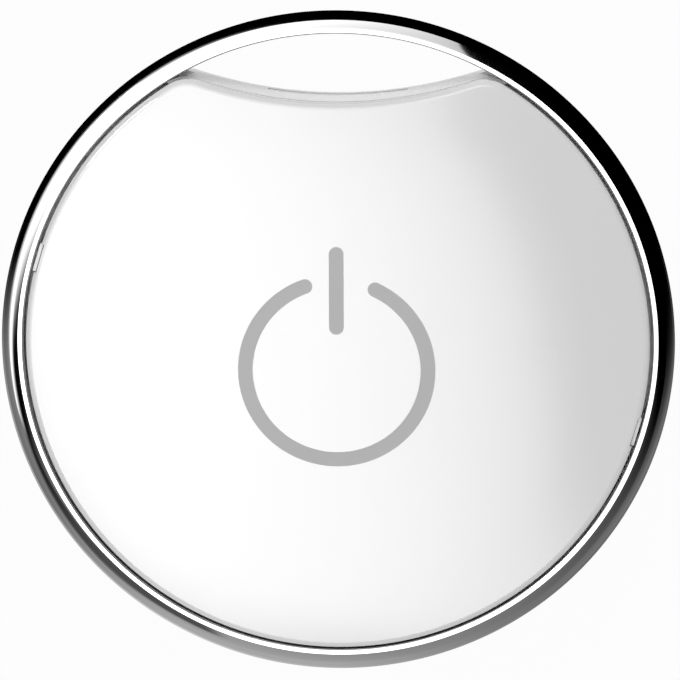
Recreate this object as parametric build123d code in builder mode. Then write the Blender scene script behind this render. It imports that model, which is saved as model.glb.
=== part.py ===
from build123d import *

import os
from math import cos, radians, sin, sqrt, tan

# A round key fob that works a smart lock. A domed push face sits in a polished ring, and a
# keyring passes between the ring and a concave cut in the body.
# The fob lies on its back. The origin is the middle of the flat back, +Z points out of the
# face and +Y points at the keyring opening. Every size is in millimetres.

# Polished ring
ring_outer_radius = 21.0
ring_width = 1.38
ring_height = 2.1
ring_inner_round = 0.12
ring_land_width = 0.22
ring_band_width = 0.52
ring_band_drop = 0.13
ring_band_crown = 0.014
ring_roll_angle = 26.0
ring_roll_pull = 0.22
ring_widest_drop = 0.6
ring_side_radius = 0.6
ring_side_lean = 32.0
ring_fit = 0.08

# Keyring opening: the concave cut and its flared back
opening_width = 4.25
cut_radius = 28.0
cut_corner_radius = 2.2
inner_corner_radius = 0.5
scoop_angle = 20.0

# Push face
cap_gap = 0.18
cap_dome_rise = 1.0
cap_rim_thickness = 1.45
cap_wall = 1.8
cap_edge_round = 0.4
cap_lip = 0.55
rim_above_land = 0.4
press_travel = 0.3
press_spare = 0.1
post_radius = 1.5

# Symbol on the face
symbol_centre_y = -1.34
symbol_radius = 5.68
symbol_stroke = 0.92
symbol_gap_left = 20.0
symbol_gap_right = 25.0
symbol_bar_start = 2.3
symbol_bar_end = 7.83
symbol_depth = 0.15

# Hooks that hold the face down to the housing
hook_count = 4
hook_first_angle = 45.0
hook_thickness = 0.5
hook_skirt_gap = 0.2
hook_width = 3.0
hook_barb = 0.35
hook_barb_height = 0.6
hook_catch_gap = 0.05
hook_slot_gap = 0.15

# Guide tabs that keep the symbol upright
guide_angle = 163.6
guide_width = 1.8
guide_thickness = 0.2
guide_rise = 1.35
guide_gap = 0.06
guide_inset = 0.03

# Housing
flange_thickness = 0.4
deck_thickness = 0.6
deck_ledge = 0.9
concave_wall = 0.9
concave_wall_gap = 0.15
skirt_inset = 1.57
skirt_wall = 0.75
skirt_depth = 1.3
skirt_gap = 0.12
snap_clearance = 0.02
snap_height = 0.3
snap_drop = 0.6
snap_groove = 0.2
snap_groove_play = 0.15

# Rear cover
cover_wall = 0.9
cover_seam = 0.05
foot_inset = 7.64
back_radius = 14.0
pry_slot_width = 8.7
pry_slot_height = 0.45
pry_slot_depth = 0.45
pry_lip = 0.4
seal_inset = 0.65
seal_width = 0.4
seal_height = 0.35
seal_side_gap = 0.02
pad_radius = 6.0
pad_thickness = 0.35

# Coin cell, a standard round cell 20 mm across and 3.2 mm thick
cell_radius = 10.0
cell_thickness = 3.2
cell_play = 0.15
cell_sheet = 0.25
cell_can_edge = 0.5
cell_can_below_top = 0.3
cell_gasket_width = 0.4
cell_gasket_foot_width = 1.2
cell_part_gap = 0.02
cell_shoulder = 0.45

# Circuit board
board_thickness = 0.8
board_inset = 3.67
board_to_deck = 0.4
contact_space = 0.45

# Screws that hold the board
screw_count = 3
screw_first_angle = 30.0
screw_shank_radius = 0.55
screw_head_radius = 1.2
screw_head_height = 0.5
screw_head_chamfer = 0.15
screw_recess_width = 0.3
screw_recess_length = 1.4
screw_recess_depth = 0.3
screw_pilot_gap = 0.05
screw_board_gap = 0.2
screw_top_gap = 0.15
boss_radius = 1.6

# Cell holder and contacts under the board
holder_wall = 1.0
holder_cell_gap = 0.2
holder_above_cell_foot = 0.6
holder_flange_width = 1.0
holder_flange_gap = 0.1
finger_notch_width = 7.0
finger_notch_angle = 20.0
contact_sheet = 0.15
contact_width = 3.0
contact_side_gap = 0.5
contact_touch_gap = 0.03
contact_angle = 200.0
contact_foot_length = 1.6
contact_leg_out = 0.5
contact_touch_height = 1.5
contact_tip_height = 0.8
leaf_foot_start = -7.5
leaf_foot_end = -5.0
leaf_touch = 0.0
leaf_tip = 1.5
leaf_tip_rise = 0.15

# Push switch
switch_size = 4.5
switch_corner = 0.6
switch_base_height = 0.65
switch_floor = 0.15
switch_well_radius = 1.75
switch_plate_thickness = 0.1
snap_dome_radius = 1.6
snap_dome_rise = 0.3
snap_dome_sheet = 0.08
plunger_radius = 0.95
plunger_flange_radius = 1.2
plunger_flange_height = 0.06
plunger_proud = 0.45
plunger_gap = 0.02
plunger_hole_gap = 0.1

# Other parts on the board: length, width and height, and the place of the middle
chip_size = (5.0, 5.0, 0.85)
chip_centre = (-6.2, -2.0)
chip_mark_radius = 0.3
chip_mark_inset = 0.9
chip_mark_depth = 0.1
crystal_size = (3.2, 2.5, 0.7)
crystal_centre = (-3.9, -6.9)
crystal_lid_inset = 0.15
crystal_lid_height = 0.3
antenna_size = (5.2, 2.0, 1.1)
antenna_centre = (5.5, 4.4)
capacitor_size = (1.0, 0.5, 0.5)
capacitor_centres = [(-6.9, 1.9), (-4.9, 1.9), (-1.2, -5.0), (0.6, -5.0), (2.2, 5.8), (4.6, 2.6)]
resistor_size = (1.0, 0.5, 0.35)
resistor_centres = [(4.6, -2.6), (4.6, -4.0), (-1.2, -6.4), (0.6, -6.4)]

# Levels, from the flat back upwards
cover_floor = cover_wall
cell_foot = cover_floor + pad_thickness + cell_play
cell_top = cell_foot + cell_thickness
board_bottom = cell_top + contact_space
board_top = board_bottom + board_thickness
deck_bottom = board_top + board_to_deck
deck_top = deck_bottom + deck_thickness
cap_bottom = deck_top + press_travel + press_spare
cap_rim_height = cap_bottom + cap_rim_thickness
fob_height = cap_rim_height + cap_dome_rise
land_height = cap_rim_height - rim_above_land
ring_seat = land_height - ring_height
housing_base = ring_seat - flange_thickness
cover_top = housing_base - cover_seam
skirt_bottom = housing_base - skirt_depth
scoop_top = cover_top - pry_slot_height - pry_lip

# Radii and places that follow from the sizes above
ring_inner_radius = ring_outer_radius - ring_width
cap_radius = ring_inner_radius - cap_gap
housing_radius = ring_inner_radius - ring_fit
ring_widest_level = land_height - ring_widest_drop
ring_side_level = ring_widest_level - ring_side_radius * sin(radians(ring_side_lean))
ring_base_radius = (
    ring_outer_radius
    - ring_side_radius * (1 - cos(radians(ring_side_lean)))
    - (ring_side_level - ring_seat) * tan(radians(ring_side_lean))
)
foot_radius = ring_base_radius - foot_inset
dome_radius = (cap_radius**2 + cap_dome_rise**2) / (2 * cap_dome_rise)
cut_centre_y = ring_inner_radius - opening_width + cut_radius
rebate_inset = skirt_inset - skirt_gap
skirt_inner_inset = skirt_inset + skirt_wall
switch_floor_level = board_top + switch_floor
switch_plate_level = board_top + switch_base_height
switch_top = switch_plate_level + switch_plate_thickness
plunger_foot = switch_floor_level + snap_dome_rise + snap_dome_sheet + plunger_gap
plunger_top = switch_top + plunger_proud
hook_barb_top = deck_bottom - hook_catch_gap
hook_radius = (
    housing_radius - skirt_inner_inset - hook_skirt_gap - hook_barb - hook_thickness / 2
)
guide_radius = housing_radius - guide_inset - guide_thickness / 2

# The screws stand midway between the cell's holder and the board's edge
holder_inner = cell_radius + holder_cell_gap
holder_outer = holder_inner + holder_wall
screw_circle_radius = (holder_outer + housing_radius - board_inset) / 2
deck_opening_radius = screw_circle_radius - boss_radius - deck_ledge


def drum(radius, bottom, top, mode=Mode.ADD):
    """Add or take away a round drum between two levels of the open part."""
    with BuildSketch(Plane.XY.offset(bottom)) as plan:
        Circle(radius)
    extrude(plan.sketch, amount=top - bottom, mode=mode)


def outline_face(radius, inset):
    """Give the fob's plan, a disc with the keyring cut in it, drawn inset from its edge."""
    with BuildSketch() as plan:
        Circle(radius - inset)
        with Locations((0, cut_centre_y)):
            Circle(cut_radius + inset, mode=Mode.SUBTRACT)
        corners = plan.vertices().sort_by(Axis.Y)[-2:]
        fillet(corners, max(cut_corner_radius - inset, inner_corner_radius))
    return plan.sketch


def outline_prism(radius, inset, bottom, top, mode=Mode.ADD):
    """Raise the fob's inset plan from one level to another."""
    with BuildSketch(Plane.XY.offset(bottom)) as plan:
        add(outline_face(radius, inset))
    extrude(plan.sketch, amount=top - bottom, mode=mode)


def below_dome(drop, mode):
    """Keep or take away what lies under the face's dome, lowered by drop."""
    with Locations((0, 0, fob_height - drop - dome_radius)):
        Sphere(dome_radius, mode=mode)


def cut_strip(reach, bottom, top, mode):
    """Keep or take away the strip that lies within reach of the keyring cut."""
    with BuildSketch(Plane.XY.offset(bottom)) as plan:
        with Locations((0, cut_centre_y)):
            Circle(cut_radius + reach)
    extrude(plan.sketch, amount=top - bottom, mode=mode)


def scoop(wall, mode=Mode.SUBTRACT):
    """Take away the flared back of the keyring opening and a wall behind its surface."""
    flare = tan(radians(scoop_angle))
    top_reach = cut_radius + wall / cos(radians(scoop_angle))
    with Locations((0, cut_centre_y, scoop_top / 2)):
        Cone(top_reach + scoop_top * flare, top_reach, scoop_top, mode=mode)


def seal_ring(side_gap, bottom, top, mode=Mode.ADD):
    """Add the closed seal that follows the fob's plan, or take away its groove."""
    with BuildSketch(Plane.XY.offset(bottom)) as plan:
        for inset, ring_mode in (
            (seal_inset - side_gap, Mode.ADD),
            (seal_inset + seal_width + side_gap, Mode.SUBTRACT),
        ):
            add(outline_face(housing_radius, inset), mode=ring_mode)
    extrude(plan.sketch, amount=top - bottom, mode=mode)


def polar_blocks(radius, count, first_angle, depth, width, bottom, top, mode=Mode.ADD):
    """Add or take away equal blocks set round a circle, depth outwards by width across."""
    with BuildSketch(Plane.XY.offset(bottom)) as plan:
        with PolarLocations(radius, count, start_angle=first_angle):
            Rectangle(depth, width)
    extrude(plan.sketch, amount=top - bottom, mode=mode)


def polar_drums(circle_radius, count, first_angle, radius, bottom, top, mode=Mode.ADD):
    """Add or take away equal round pillars or holes set round a circle."""
    with BuildSketch(Plane.XY.offset(bottom)) as plan:
        with PolarLocations(circle_radius, count, start_angle=first_angle):
            Circle(radius)
    extrude(plan.sketch, amount=top - bottom, mode=mode)


def board_blocks(size, centres, mode=Mode.ADD):
    """Set equal blocks on the board's upper face, one at each centre."""
    length, width, height = size
    with BuildSketch(Plane.XY.offset(board_top)) as plan:
        with Locations(*centres):
            Rectangle(length, width)
    extrude(plan.sketch, amount=height, mode=mode)


# Ring: a rounded inner edge, a flat bright land, a shallow crowned band outside it, a rolled
# outer edge below that, and a side that leans in towards the back
with BuildPart() as chrome_ring:
    land_inner = ring_inner_radius + ring_inner_round
    land_outer = land_inner + ring_land_width
    crease_radius = land_outer + ring_band_width
    crease_level = land_height - ring_band_drop
    band_middle = (
        (land_outer + crease_radius) / 2,
        (land_height + crease_level) / 2 + ring_band_crown,
    )
    roll_pull = (
        crease_radius + ring_roll_pull * cos(radians(ring_roll_angle)),
        crease_level - ring_roll_pull * sin(radians(ring_roll_angle)),
    )
    with BuildSketch(Plane.XZ):
        with BuildLine():
            Polyline(
                (ring_base_radius, ring_seat),
                (ring_inner_radius, ring_seat),
                (ring_inner_radius, land_height - ring_inner_round),
            )
            JernArc(
                (ring_inner_radius, land_height - ring_inner_round), (0, 1), ring_inner_round, -90
            )
            Line((land_inner, land_height), (land_outer, land_height))
            ThreePointArc((land_outer, land_height), band_middle, (crease_radius, crease_level))
            Bezier(
                (crease_radius, crease_level),
                roll_pull,
                (ring_outer_radius, ring_widest_level + ring_roll_pull),
                (ring_outer_radius, ring_widest_level),
            )
            side = JernArc(
                (ring_outer_radius, ring_widest_level), (0, -1), ring_side_radius, -ring_side_lean
            )
            Line(side @ 1, (ring_base_radius, ring_seat))
        make_face()
    revolve(axis=Axis.Z)

# Top of the housing's concave wall, which closes the keyring opening under the face's lip
with BuildPart() as wall_top:
    outline_prism(housing_radius, 0, housing_base, fob_height)
    cut_strip(concave_wall, housing_base, fob_height, Mode.INTERSECT)
    below_dome(cap_lip + press_travel + press_spare, Mode.INTERSECT)

# Housing: an outer flange that the ring sits on, a deck over the board, and a skirt that
# the rear cover snaps over
with BuildPart() as housing:
    outline_prism(ring_base_radius, 0, housing_base, ring_seat)
    outline_prism(housing_radius, 0, housing_base, deck_top)
    outline_prism(housing_radius, skirt_inset, skirt_bottom, housing_base)
    outline_prism(
        housing_radius, skirt_inset - skirt_gap + snap_clearance,
        housing_base - snap_drop - snap_height, housing_base - snap_drop,
    )
    outline_prism(housing_radius, skirt_inner_inset, skirt_bottom, deck_bottom, Mode.SUBTRACT)
    drum(deck_opening_radius, deck_bottom, deck_top, Mode.SUBTRACT)
    scoop(cover_wall + skirt_gap)
    add(wall_top.part)
    polar_drums(
        screw_circle_radius, screw_count, screw_first_angle, boss_radius, board_top, deck_bottom
    )
    polar_drums(
        screw_circle_radius, screw_count, screw_first_angle,
        screw_shank_radius + screw_pilot_gap, board_top, deck_top, Mode.SUBTRACT,
    )
    polar_blocks(
        hook_radius + hook_barb / 2 - hook_slot_gap / 2, hook_count, hook_first_angle,
        hook_thickness + 2 * hook_slot_gap, hook_width + 2 * hook_slot_gap,
        deck_bottom, deck_top, Mode.SUBTRACT,
    )
    polar_blocks(
        guide_radius, 2, guide_angle, guide_thickness, guide_width, deck_top, deck_top + guide_rise
    )

# Symbol: a thin grey inlay that follows the dome, an open arc and a bar through its gap
with BuildPart() as power_symbol:
    with BuildSketch(Plane.XY.offset(cap_rim_height)):
        arc_start = 90 + symbol_gap_left
        arc_size = 360 - symbol_gap_left - symbol_gap_right
        arc_line = CenterArc(
            (0, symbol_centre_y), symbol_radius, arc_start, arc_size, mode=Mode.PRIVATE
        )
        SlotArc(arc_line, symbol_stroke)
        with Locations((0, symbol_centre_y + (symbol_bar_start + symbol_bar_end) / 2)):
            SlotOverall(symbol_bar_end - symbol_bar_start, symbol_stroke, rotation=90)
    extrude(amount=cap_dome_rise)
    below_dome(0, Mode.INTERSECT)
    below_dome(symbol_depth, Mode.SUBTRACT)

# Room in the face's underside for the top of the housing's concave wall
with BuildPart() as lip_pocket:
    outline_prism(ring_outer_radius, 0, cap_bottom - press_spare, fob_height)
    cut_strip(
        concave_wall + concave_wall_gap, cap_bottom - press_spare, fob_height, Mode.INTERSECT
    )
    below_dome(cap_lip, Mode.INTERSECT)

# Push face: a domed shell with a post for the switch, hooks, and slots for the guide tabs
with BuildPart() as button_cap:
    outline_prism(cap_radius, 0, cap_bottom, fob_height)
    below_dome(0, Mode.INTERSECT)
    domed_face = button_cap.faces().sort_by(Axis.Z)[-1]
    rim_edges = domed_face.edges().filter_by(
        lambda edge: edge.distance_to(Vertex(0, 0, fob_height)) > cap_radius / 2
    )
    fillet(rim_edges, cap_edge_round)
    below_dome(cap_wall, Mode.SUBTRACT)
    drum(post_radius, plunger_top, fob_height - cap_wall / 2)
    add(lip_pocket.part, mode=Mode.SUBTRACT)
    polar_blocks(
        hook_radius, hook_count, hook_first_angle, hook_thickness, hook_width,
        hook_barb_top - hook_barb_height, cap_bottom,
    )
    polar_blocks(
        hook_radius + hook_barb / 2, hook_count, hook_first_angle,
        hook_thickness + hook_barb, hook_width,
        hook_barb_top - hook_barb_height, hook_barb_top,
    )
    polar_blocks(
        guide_radius + (ring_width - guide_gap) / 2, 2, guide_angle,
        guide_thickness + guide_gap + ring_width, guide_width + 2 * guide_gap,
        cap_bottom, fob_height, Mode.SUBTRACT,
    )
    add(power_symbol.part, mode=Mode.SUBTRACT)

# Space inside the rear cover: the back's own curve set in by the wall, kept clear of the
# opening's flared back
with BuildPart() as cover_space:
    back_arc = RadiusArc((foot_radius, 0), (ring_base_radius, cover_top), -back_radius)
    arc_middle_radius = back_arc.arc_center.X
    arc_middle_level = back_arc.arc_center.Y
    inner_arc_radius = back_radius - cover_wall
    inner_foot = arc_middle_radius + sqrt(
        inner_arc_radius**2 - (arc_middle_level - cover_floor) ** 2
    )
    inner_rim = arc_middle_radius + sqrt(inner_arc_radius**2 - (arc_middle_level - cover_top) ** 2)
    with BuildSketch(Plane.XZ):
        with BuildLine():
            Polyline((inner_rim, cover_top), (0, cover_top), (0, cover_floor), (inner_foot, cover_floor))
            RadiusArc((inner_foot, cover_floor), (inner_rim, cover_top), -inner_arc_radius)
        make_face()
    revolve(axis=Axis.Z)
    outline_prism(housing_radius, rebate_inset, 0, cover_top, Mode.INTERSECT)
    scoop(cover_wall)

# Rear cover: a shallow shell with a flat foot, a seal groove, a snap groove and a pry slot
with BuildPart() as rear_cover:
    with BuildSketch(Plane.XZ):
        with BuildLine():
            Polyline((ring_base_radius, cover_top), (0, cover_top), (0, 0), (foot_radius, 0))
            RadiusArc((foot_radius, 0), (ring_base_radius, cover_top), -back_radius)
        make_face()
    revolve(axis=Axis.Z)
    outline_prism(ring_base_radius, 0, 0, cover_top, Mode.INTERSECT)
    scoop(0)
    add(cover_space.part, mode=Mode.SUBTRACT)
    outline_prism(
        housing_radius, rebate_inset - snap_groove,
        housing_base - snap_drop - snap_height - snap_groove_play,
        housing_base - snap_drop + snap_groove_play, Mode.SUBTRACT,
    )
    seal_ring(seal_side_gap, cover_top - seal_height, cover_top, Mode.SUBTRACT)
    with BuildSketch(Plane.XY.offset(cover_top - pry_slot_height)):
        with Locations((0, cut_centre_y)):
            Circle(cut_radius + pry_slot_depth)
        with Locations((0, cut_centre_y - cut_radius)):
            Rectangle(pry_slot_width, opening_width, mode=Mode.INTERSECT)
    extrude(amount=pry_slot_height, mode=Mode.SUBTRACT)

# Soft seal in the cover's top edge, pressed against the housing
with BuildPart() as cover_seal:
    seal_ring(0, cover_top - seal_height, housing_base - seal_side_gap)

# Foam pad that pushes the cell up to its contacts
with BuildPart() as cell_pad:
    drum(pad_radius, cover_floor, cover_floor + pad_thickness)

# Coin cell: the can is a shallow cup, the cap closes it from the board's side, and the
# insulating ring parts the two
with BuildPart() as cell_can:
    drum(cell_radius, cell_foot, cell_top - cell_can_below_top)
    fillet(cell_can.edges().group_by(Axis.Z)[0], cell_can_edge)
    drum(
        cell_radius - cell_sheet, cell_foot + cell_sheet, cell_top - cell_can_below_top,
        Mode.SUBTRACT,
    )

with BuildPart() as cell_gasket:
    gasket_outer = cell_radius - cell_sheet - cell_part_gap
    gasket_foot = cell_foot + cell_sheet
    drum(gasket_outer, gasket_foot, cell_top - cell_can_below_top)
    drum(
        gasket_outer - cell_gasket_width, gasket_foot + cell_sheet,
        cell_top - cell_can_below_top, Mode.SUBTRACT,
    )
    drum(
        gasket_outer - cell_gasket_foot_width, gasket_foot, gasket_foot + cell_sheet, Mode.SUBTRACT
    )

with BuildPart() as cell_cap:
    skirt_outer = gasket_outer - cell_gasket_width - cell_part_gap
    skirt_foot = gasket_foot + cell_sheet + cell_part_gap
    shoulder = cell_top - cell_can_below_top
    with BuildSketch(Plane.XZ):
        with BuildLine():
            Polyline(
                (0, cell_top),
                (skirt_outer - cell_shoulder, cell_top),
                (skirt_outer, shoulder),
                (skirt_outer, skirt_foot),
                (skirt_outer - cell_sheet, skirt_foot),
                (skirt_outer - cell_sheet, shoulder - cell_sheet / 2),
                (skirt_outer - cell_shoulder - cell_sheet / 2, cell_top - cell_sheet),
                (0, cell_top - cell_sheet),
                close=True,
            )
        make_face()
    revolve(axis=Axis.Z)

# Circuit board, hung under the housing's bosses by three screws
with BuildPart() as circuit_board:
    outline_prism(housing_radius, board_inset, board_bottom, board_top)
    polar_drums(
        screw_circle_radius, screw_count, screw_first_angle,
        screw_shank_radius + screw_board_gap, board_bottom, board_top, Mode.SUBTRACT,
    )

with BuildPart() as board_screws:
    polar_drums(
        screw_circle_radius, screw_count, screw_first_angle, screw_head_radius,
        board_bottom - screw_head_height, board_bottom,
    )
    chamfer(board_screws.edges().group_by(Axis.Z)[0], screw_head_chamfer)
    polar_drums(
        screw_circle_radius, screw_count, screw_first_angle, screw_shank_radius,
        board_bottom, deck_top - screw_top_gap,
    )
    recess_foot = board_bottom - screw_head_height
    polar_blocks(
        screw_circle_radius, screw_count, screw_first_angle, screw_recess_width,
        screw_recess_length, recess_foot, recess_foot + screw_recess_depth, Mode.SUBTRACT,
    )
    polar_blocks(
        screw_circle_radius, screw_count, screw_first_angle, screw_recess_length,
        screw_recess_width, recess_foot, recess_foot + screw_recess_depth, Mode.SUBTRACT,
    )

# Push switch: a square moulded well, a snap dome on its floor, a metal plate over it and a
# plunger that stands through the plate
with BuildPart() as switch_base:
    with BuildSketch(Plane.XY.offset(board_top)) as base_plan:
        Rectangle(switch_size, switch_size)
        chamfer(base_plan.vertices(), switch_corner)
    extrude(amount=switch_base_height)
    drum(switch_well_radius, switch_floor_level, switch_plate_level, Mode.SUBTRACT)

with BuildPart() as switch_plate:
    with BuildSketch(Plane.XY.offset(switch_plate_level)) as plate_plan:
        Rectangle(switch_size, switch_size)
        chamfer(plate_plan.vertices(), switch_corner)
        Circle(plunger_radius + plunger_hole_gap, mode=Mode.SUBTRACT)
    extrude(amount=switch_plate_thickness)

with BuildPart() as snap_dome:
    snap_arc_radius = (snap_dome_radius**2 + snap_dome_rise**2) / (2 * snap_dome_rise)
    with BuildSketch(Plane.XZ):
        with BuildLine():
            under = RadiusArc(
                (snap_dome_radius, switch_floor_level),
                (0, switch_floor_level + snap_dome_rise), -snap_arc_radius,
            )
            axis_line = Line(under @ 1, under @ 1 + Vector(0, snap_dome_sheet))
            over = RadiusArc(
                (snap_dome_radius, switch_floor_level + snap_dome_sheet), axis_line @ 1,
                -snap_arc_radius,
            )
            Line(over @ 0, under @ 0)
        make_face()
    revolve(axis=Axis.Z)

with BuildPart() as switch_plunger:
    drum(plunger_flange_radius, plunger_foot, plunger_foot + plunger_flange_height)
    drum(plunger_radius, plunger_foot, plunger_top)

# Parts soldered to the board's upper face
with BuildPart() as radio_chip:
    board_blocks(chip_size, [chip_centre])
    with BuildSketch(Plane.XY.offset(board_top + chip_size[2] - chip_mark_depth)):
        with Locations((
            chip_centre[0] - chip_size[0] / 2 + chip_mark_inset,
            chip_centre[1] + chip_size[1] / 2 - chip_mark_inset,
        )):
            Circle(chip_mark_radius)
    extrude(amount=chip_mark_depth, mode=Mode.SUBTRACT)

with BuildPart() as crystal:
    crystal_length, crystal_width, crystal_height = crystal_size
    board_blocks((crystal_length, crystal_width, crystal_height - crystal_lid_height), [crystal_centre])
    lid_size = (
        crystal_length - 2 * crystal_lid_inset, crystal_width - 2 * crystal_lid_inset, crystal_height
    )
    board_blocks(lid_size, [crystal_centre])

with BuildPart() as chip_antenna:
    board_blocks(antenna_size, [antenna_centre])

with BuildPart() as capacitors:
    board_blocks(capacitor_size, capacitor_centres)

with BuildPart() as resistors:
    board_blocks(resistor_size, resistor_centres)

# Cell holder: a round wall and a flange on the board's underside, open for the side contact
# and notched so that a finger can lift the cell out
with BuildPart() as cell_holder:
    drum(holder_outer, cell_foot + holder_above_cell_foot, board_bottom)
    drum(holder_inner, cell_foot + holder_above_cell_foot, cell_top + holder_flange_gap, Mode.SUBTRACT)
    drum(holder_inner - holder_flange_width, cell_top, board_bottom, Mode.SUBTRACT)
    polar_blocks(
        cell_radius, 1, contact_angle, 2 * (holder_wall + holder_flange_width + holder_cell_gap),
        contact_width + 2 * contact_side_gap, cell_foot, board_bottom, Mode.SUBTRACT,
    )
    polar_blocks(
        holder_outer, 1, finger_notch_angle, 2 * holder_wall + holder_cell_gap,
        finger_notch_width, cell_foot, cell_top + holder_flange_gap, Mode.SUBTRACT,
    )

# Side contact: a foot on the board, a leg beside the cell and a bow that touches the can
with BuildPart() as positive_contact:
    outward = Vector(cos(radians(contact_angle)), sin(radians(contact_angle)), 0)
    side_plane = Plane((0, 0, 0), x_dir=outward, z_dir=outward.cross(Vector(0, 0, 1)))
    foot_level = board_bottom - contact_sheet / 2
    leg_radius = cell_radius + contact_leg_out
    touch_radius = cell_radius + contact_touch_gap + contact_sheet / 2
    with BuildSketch(side_plane):
        with BuildLine() as contact_line:
            Polyline(
                (leg_radius + contact_foot_length, foot_level),
                (leg_radius, foot_level),
                (leg_radius, cell_top - contact_sheet),
                (touch_radius, cell_foot + contact_touch_height),
                (leg_radius, cell_foot + contact_tip_height),
            )
        trace(contact_line.line, contact_sheet)
    extrude(amount=contact_width / 2, both=True)

# Leaf contact: a foot on the board and a tongue that bends down to the cell's cap
with BuildPart() as negative_contact:
    touch_level = cell_top + contact_touch_gap + contact_sheet / 2
    with BuildSketch(Plane.XZ):
        with BuildLine() as leaf_line:
            Polyline(
                (leaf_foot_start, foot_level),
                (leaf_foot_end, foot_level),
                (leaf_touch, touch_level),
                (leaf_tip, touch_level + leaf_tip_rise),
            )
        trace(leaf_line.line, contact_sheet)
    extrude(amount=contact_width / 2, both=True)

pieces = {
    "chrome_ring": chrome_ring,
    "housing": housing,
    "button_cap": button_cap,
    "power_symbol": power_symbol,
    "rear_cover": rear_cover,
    "cover_seal": cover_seal,
    "cell_pad": cell_pad,
    "cell_can": cell_can,
    "cell_gasket": cell_gasket,
    "cell_cap": cell_cap,
    "circuit_board": circuit_board,
    "board_screws": board_screws,
    "switch_base": switch_base,
    "switch_plate": switch_plate,
    "snap_dome": snap_dome,
    "switch_plunger": switch_plunger,
    "radio_chip": radio_chip,
    "crystal": crystal,
    "chip_antenna": chip_antenna,
    "capacitors": capacitors,
    "resistors": resistors,
    "cell_holder": cell_holder,
    "positive_contact": positive_contact,
    "negative_contact": negative_contact,
}
os.makedirs("parts", exist_ok=True)
for name, piece in pieces.items():
    piece.part.label = name
    export_step(piece.part, f"parts/{name}.step")
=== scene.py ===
import math
import bmesh
import bpy
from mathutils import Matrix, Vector


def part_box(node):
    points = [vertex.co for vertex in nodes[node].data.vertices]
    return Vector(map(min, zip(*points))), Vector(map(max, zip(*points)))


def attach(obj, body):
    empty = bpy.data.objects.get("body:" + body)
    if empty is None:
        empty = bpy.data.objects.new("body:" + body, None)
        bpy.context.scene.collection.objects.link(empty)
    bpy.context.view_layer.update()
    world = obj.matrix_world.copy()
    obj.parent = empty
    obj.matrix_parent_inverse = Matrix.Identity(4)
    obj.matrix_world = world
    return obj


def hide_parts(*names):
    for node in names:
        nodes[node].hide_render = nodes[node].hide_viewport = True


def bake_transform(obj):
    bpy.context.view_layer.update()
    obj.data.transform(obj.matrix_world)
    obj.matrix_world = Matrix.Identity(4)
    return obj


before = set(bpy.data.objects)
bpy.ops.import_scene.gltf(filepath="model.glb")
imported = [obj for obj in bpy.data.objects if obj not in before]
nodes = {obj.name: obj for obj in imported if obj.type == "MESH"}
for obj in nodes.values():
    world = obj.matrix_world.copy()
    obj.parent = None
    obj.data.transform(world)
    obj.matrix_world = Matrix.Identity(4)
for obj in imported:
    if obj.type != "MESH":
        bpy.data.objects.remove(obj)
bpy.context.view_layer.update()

MM = 0.001

# Camera: the photograph looks down on the face from the keyring's side
IMAGE_SIZE = 680
PIXELS_PER_MM = 16.06
FACE_CENTRE_PIXEL = (337.4, 344.9)
CAMERA_DISTANCE = 400 * MM
CAMERA_TILT = math.radians(12.72)
CAMERA_TILT_TOWARDS = math.radians(79.63)
CAMERA_NEAR, CAMERA_FAR = 0.01, 10.0
SENSOR_WIDTH = 36.0
TOWARDS_CAMERA = Vector((
    math.sin(CAMERA_TILT) * math.cos(CAMERA_TILT_TOWARDS),
    math.sin(CAMERA_TILT) * math.sin(CAMERA_TILT_TOWARDS),
    math.cos(CAMERA_TILT),
))

# Light tent, which only reflections show. A place in it is given by its slopes, which are how
# far it lies to +X and to +Y for each metre of height, or by its compass angle and its height
# over the horizon, in degrees. A span gives where a glow starts, is full, ebbs and ends. A grid
# gives the rows and columns of a sheet.
TENT_HEIGHT = 0.5
TENT_RADIUS = 0.75
GROUND_GLOW_LEVEL = 0.0002
GROUND_GLOW_INNER = 0.0205
COMPASS_START = 20
SOFTBOX_GRID = (100, 90)
SURROUND_GRID = (60, 360)
GROUND_GRID = (4, 120)

# The softbox overhead, by slopes. Its columns crowd towards its right edge.
SOFTBOX_BOTTOM, SOFTBOX_TOP, SOFTBOX_LEFT = -0.75, 0.8, -1.1
SOFTBOX_CROWDING = 1.5
SOFTBOX_FOOT = (-0.56, -0.49)
EDGE_AT_HEAD = 0.068
EDGE_AT_FOOT = 0.185
EDGE_CURVE = 0.13
EDGE_SOFTNESS = 0.045
HEAD_LEAN = 0.37
HEAD_START = (-0.05, 0.25)
HEAD_SHARP = (-0.04, 0.12)
HEAD_GLOW = 0.9
HEAD_GLOW_RISE = 2.7
FACE_GLOW = 1.2
FACE_GLOW_RISE = 3.45
FACE_GLOW_REACH = 0.17
FACE_REACH = (0.27, 0.33)
RING_GLOW = 1.75

# The tent round it, by compass angle and height. A sink is how many degrees a form's height
# changes for each degree of the compass.
HORIZON_GLOW = 0.255
HORIZON_SPAN = (176, 200, 326, 360)
FOOT_GLOW = 0.36
FOOT_SPAN = (215, 248, 262, 300)
HIGH_GLOW = 0.48
HIGH_SPAN = (176, 200, 250, 331)
LOW_HEIGHTS = (15, 60)
LOW_SINK = 0.5
LOW_SINK_START = 310

# The white on the left
LEFT_GLOW = 1.8
LEFT_SPAN = (100, 112, 184, 216)
LEFT_HEIGHTS = (67, 73)
LEFT_SINK = 0.2

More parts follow.
